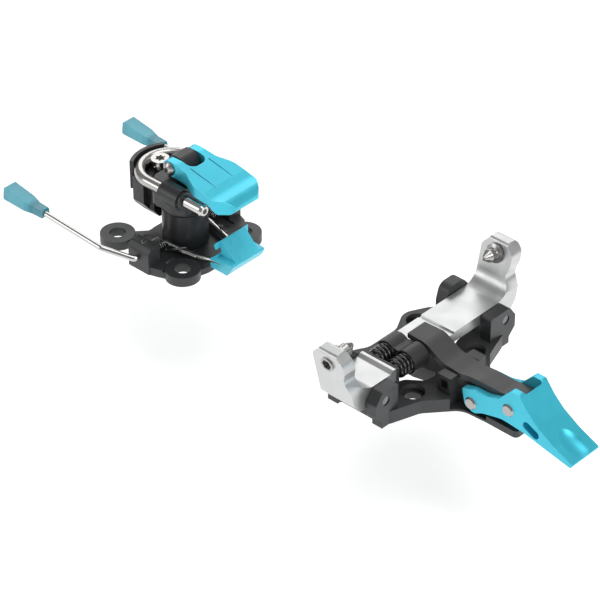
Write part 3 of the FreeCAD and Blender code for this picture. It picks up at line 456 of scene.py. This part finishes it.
def wound_spring_tree():
    """A node tree that winds round wire into a helix along +Y, at a place."""
    tree = bpy.data.node_groups.new("wound_spring", "GeometryNodeTree")
    tree.is_modifier = True
    face = tree.interface
    face.new_socket("Geometry", in_out="OUTPUT", socket_type="NodeSocketGeometry")
    for label, size in SPRING_INPUTS.items():
        face.new_socket(label, in_out="INPUT", socket_type="NodeSocketFloat").default_value = size
    face.new_socket("Place", in_out="INPUT", socket_type="NodeSocketVector")
    face.new_socket("Coat", in_out="INPUT", socket_type="NodeSocketMaterial")
    given = tree.nodes.new("NodeGroupInput").outputs
    helix = tree.nodes.new("GeometryNodeCurveSpiral")
    helix.inputs["Resolution"].default_value = 40
    wire = tree.nodes.new("GeometryNodeCurvePrimitiveCircle")
    wire.inputs["Resolution"].default_value = 16
    sweep = tree.nodes.new("GeometryNodeCurveToMesh")
    sweep.inputs["Fill Caps"].default_value = True
    lie = tree.nodes.new("GeometryNodeTransform")
    lie.inputs["Rotation"].default_value = (-math.pi / 2, 0, 0)
    smooth = tree.nodes.new("GeometryNodeSetShadeSmooth")
    real = tree.nodes.new("GeometryNodeRealizeInstances")
    coat = tree.nodes.new("GeometryNodeSetMaterial")
    result = tree.nodes.new("NodeGroupOutput")
    for source, target in (
            (given["Mean Radius"], helix.inputs["Start Radius"]),
            (given["Mean Radius"], helix.inputs["End Radius"]),
            (given["Height"], helix.inputs["Height"]),
            (given["Turns"], helix.inputs["Rotations"]),
            (given["Wire Radius"], wire.inputs["Radius"]),
            (helix.outputs["Curve"], sweep.inputs["Curve"]),
            (wire.outputs["Curve"], sweep.inputs["Profile Curve"]),
            (sweep.outputs["Mesh"], lie.inputs["Geometry"]),
            (given["Place"], lie.inputs["Translation"]),
            (lie.outputs["Geometry"], smooth.inputs["Geometry"]),
            (smooth.outputs["Geometry"], real.inputs["Geometry"]),
            (real.outputs["Geometry"], coat.inputs["Geometry"]),
            (given["Coat"], coat.inputs["Material"]),
            (coat.outputs["Geometry"], result.inputs["Geometry"])):
        tree.links.new(source, target)
    return tree


spring_tree = wound_spring_tree()
socket_of = {item.name: item.identifier for item in spring_tree.interface.items_tree}
print("wound spring inputs:", sorted(SPRING_INPUTS))

# %% Wind the two springs
for node in SPRING_NODES:
    low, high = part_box(node)
    wire_r = SPRING_INPUTS["Wire Radius"]
    piece = bpy.data.objects.new(node + "_wound", bpy.data.meshes.new(node + "_wound"))
    bpy.context.scene.collection.objects.link(piece)
    winder = piece.modifiers.new("winder", "NODES")
    winder.node_group = spring_tree
    winder[socket_of["Mean Radius"]] = (high.x - low.x) / 2 - wire_r
    winder[socket_of["Wire Radius"]] = wire_r
    winder[socket_of["Height"]] = high.y - low.y - 2 * wire_r
    winder[socket_of["Turns"]] = SPRING_INPUTS["Turns"]
    winder[socket_of["Place"]] = ((low.x + high.x) / 2, low.y + wire_r, (low.z + high.z) / 2)
    winder[socket_of["Coat"]] = spring_coat
    as_plain_mesh(piece, node + "_wound")
    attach(piece, body_of_node[node])
    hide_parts(node)
    print(f"{piece.name}: {len(piece.data.polygons)} faces")

# %% [markdown]
# ## Grub screws in the brake blocks
#
# A small screw with a hexagon socket sits flush in the top of each brake block. Both are
# the same shape, so one node tree draws a disc with a hexagonal hole, and places a copy of
# it on each point that it is given. The points come from the brake blocks' own place.

# %% Grub screw tree


def grub_screw_tree():
    """A node tree that sets a hexagon-socket disc on every point."""
    tree = bpy.data.node_groups.new("grub_screws", "GeometryNodeTree")
    tree.is_modifier = True
    face = tree.interface
    face.new_socket("Geometry", in_out="OUTPUT", socket_type="NodeSocketGeometry")
    face.new_socket("Geometry", in_out="INPUT", socket_type="NodeSocketGeometry")
    for label, size in (("Disc Radius", 0.0014), ("Socket Radius", 0.0008),
                        ("Thickness", 0.0003)):
        face.new_socket(label, in_out="INPUT", socket_type="NodeSocketFloat").default_value = size
    face.new_socket("Steel", in_out="INPUT", socket_type="NodeSocketMaterial")
    given = tree.nodes.new("NodeGroupInput").outputs
    disc = tree.nodes.new("GeometryNodeCurvePrimitiveCircle")
    disc.inputs["Resolution"].default_value = 32
    hole = tree.nodes.new("GeometryNodeCurvePrimitiveCircle")
    hole.inputs["Resolution"].default_value = 6
    both = tree.nodes.new("GeometryNodeJoinGeometry")
    fill = tree.nodes.new("GeometryNodeFillCurve")
    raise_up = tree.nodes.new("GeometryNodeExtrudeMesh")
    raise_up.inputs["Individual"].default_value = False
    place = tree.nodes.new("GeometryNodeInstanceOnPoints")
    real = tree.nodes.new("GeometryNodeRealizeInstances")
    steel = tree.nodes.new("GeometryNodeSetMaterial")
    result = tree.nodes.new("NodeGroupOutput")
    for source, target in (
            (given["Disc Radius"], disc.inputs["Radius"]),
            (given["Socket Radius"], hole.inputs["Radius"]),
            (disc.outputs["Curve"], both.inputs["Geometry"]),
            (hole.outputs["Curve"], both.inputs["Geometry"]),
            (both.outputs["Geometry"], fill.inputs["Curve"]),
            (fill.outputs["Mesh"], raise_up.inputs["Mesh"]),
            (given["Thickness"], raise_up.inputs["Offset Scale"]),
            (raise_up.outputs["Mesh"], place.inputs["Instance"]),
            (given["Geometry"], place.inputs["Points"]),
            (place.outputs["Instances"], real.inputs["Geometry"]),
            (real.outputs["Geometry"], steel.inputs["Geometry"]),
            (given["Steel"], steel.inputs["Material"]),
            (steel.outputs["Geometry"], result.inputs["Geometry"])):
        tree.links.new(source, target)
    return tree


grub_tree = grub_screw_tree()
BLOCK_X, BLOCK_MIDDLE, BLOCK_TOP = -0.128, 0.0233, 0.0124
SUNK = 0.00012  # how far the discs sink into the blocks
points = bpy.data.meshes.new("grub_screws")
points.from_pydata([(BLOCK_X, side * BLOCK_MIDDLE, BLOCK_TOP - SUNK) for side in (-1, 1)],
                   [], [])
grubs = bpy.data.objects.new("grub_screws", points)
bpy.context.scene.collection.objects.link(grubs)
setter = grubs.modifiers.new("setter", "NODES")
setter.node_group = grub_tree
setter[{i.name: i.identifier for i in grub_tree.interface.items_tree}["Steel"]] = steel_turned
as_plain_mesh(grubs, "grub_screws")
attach(grubs, "bases")
print("grub screws:", len(grubs.data.polygons), "faces")

# %% [markdown]
# ## Small round parts
#
# Pins, screws, rivets, axles and wires are small and already round, and so are the nylon
# bushes. Their CAD shapes are right, so they stay, and each takes a finish that suits how
# it was made.

# %% Finishes on the CAD nodes
KEPT_NODES = {
    "toe_pin_right": steel_turned, "toe_pin_left": steel_turned,
    "wing_axle_right": steel_blued, "wing_axle_left": steel_blued,
    "lever_rivet": steel_turned, "link_rivet": steel_turned,
    "spring_guide_rods": steel_turned, "turret_post": steel_along_x,
    "heel_spring": steel_along_x, "heel_pin_right": steel_bright,
    "heel_pin_left": steel_bright, "pin_bush_right": nylon, "pin_bush_left": nylon,
    "cover_screw": steel_along_x, "screw_collar": steel_along_x,
    "flap_axle": steel_turned, "flap_screws": steel_turned,
    "brake_wire_right": steel_bright, "brake_wire_left": steel_bright,
    "brake_spring_right": steel_blued, "brake_spring_left": steel_blued,
}
for node, material in KEPT_NODES.items():
    mesh = nodes[node].data
    mesh.materials.clear()
    mesh.materials.append(material)
plain = sorted(set(nodes) - set(KEPT_NODES) - set(FINISHES) - set(SPRING_NODES))
print("finishes on", len(KEPT_NODES), "nodes; nodes without a finish:", plain)

# %% Update the view layer
bpy.context.view_layer.update()
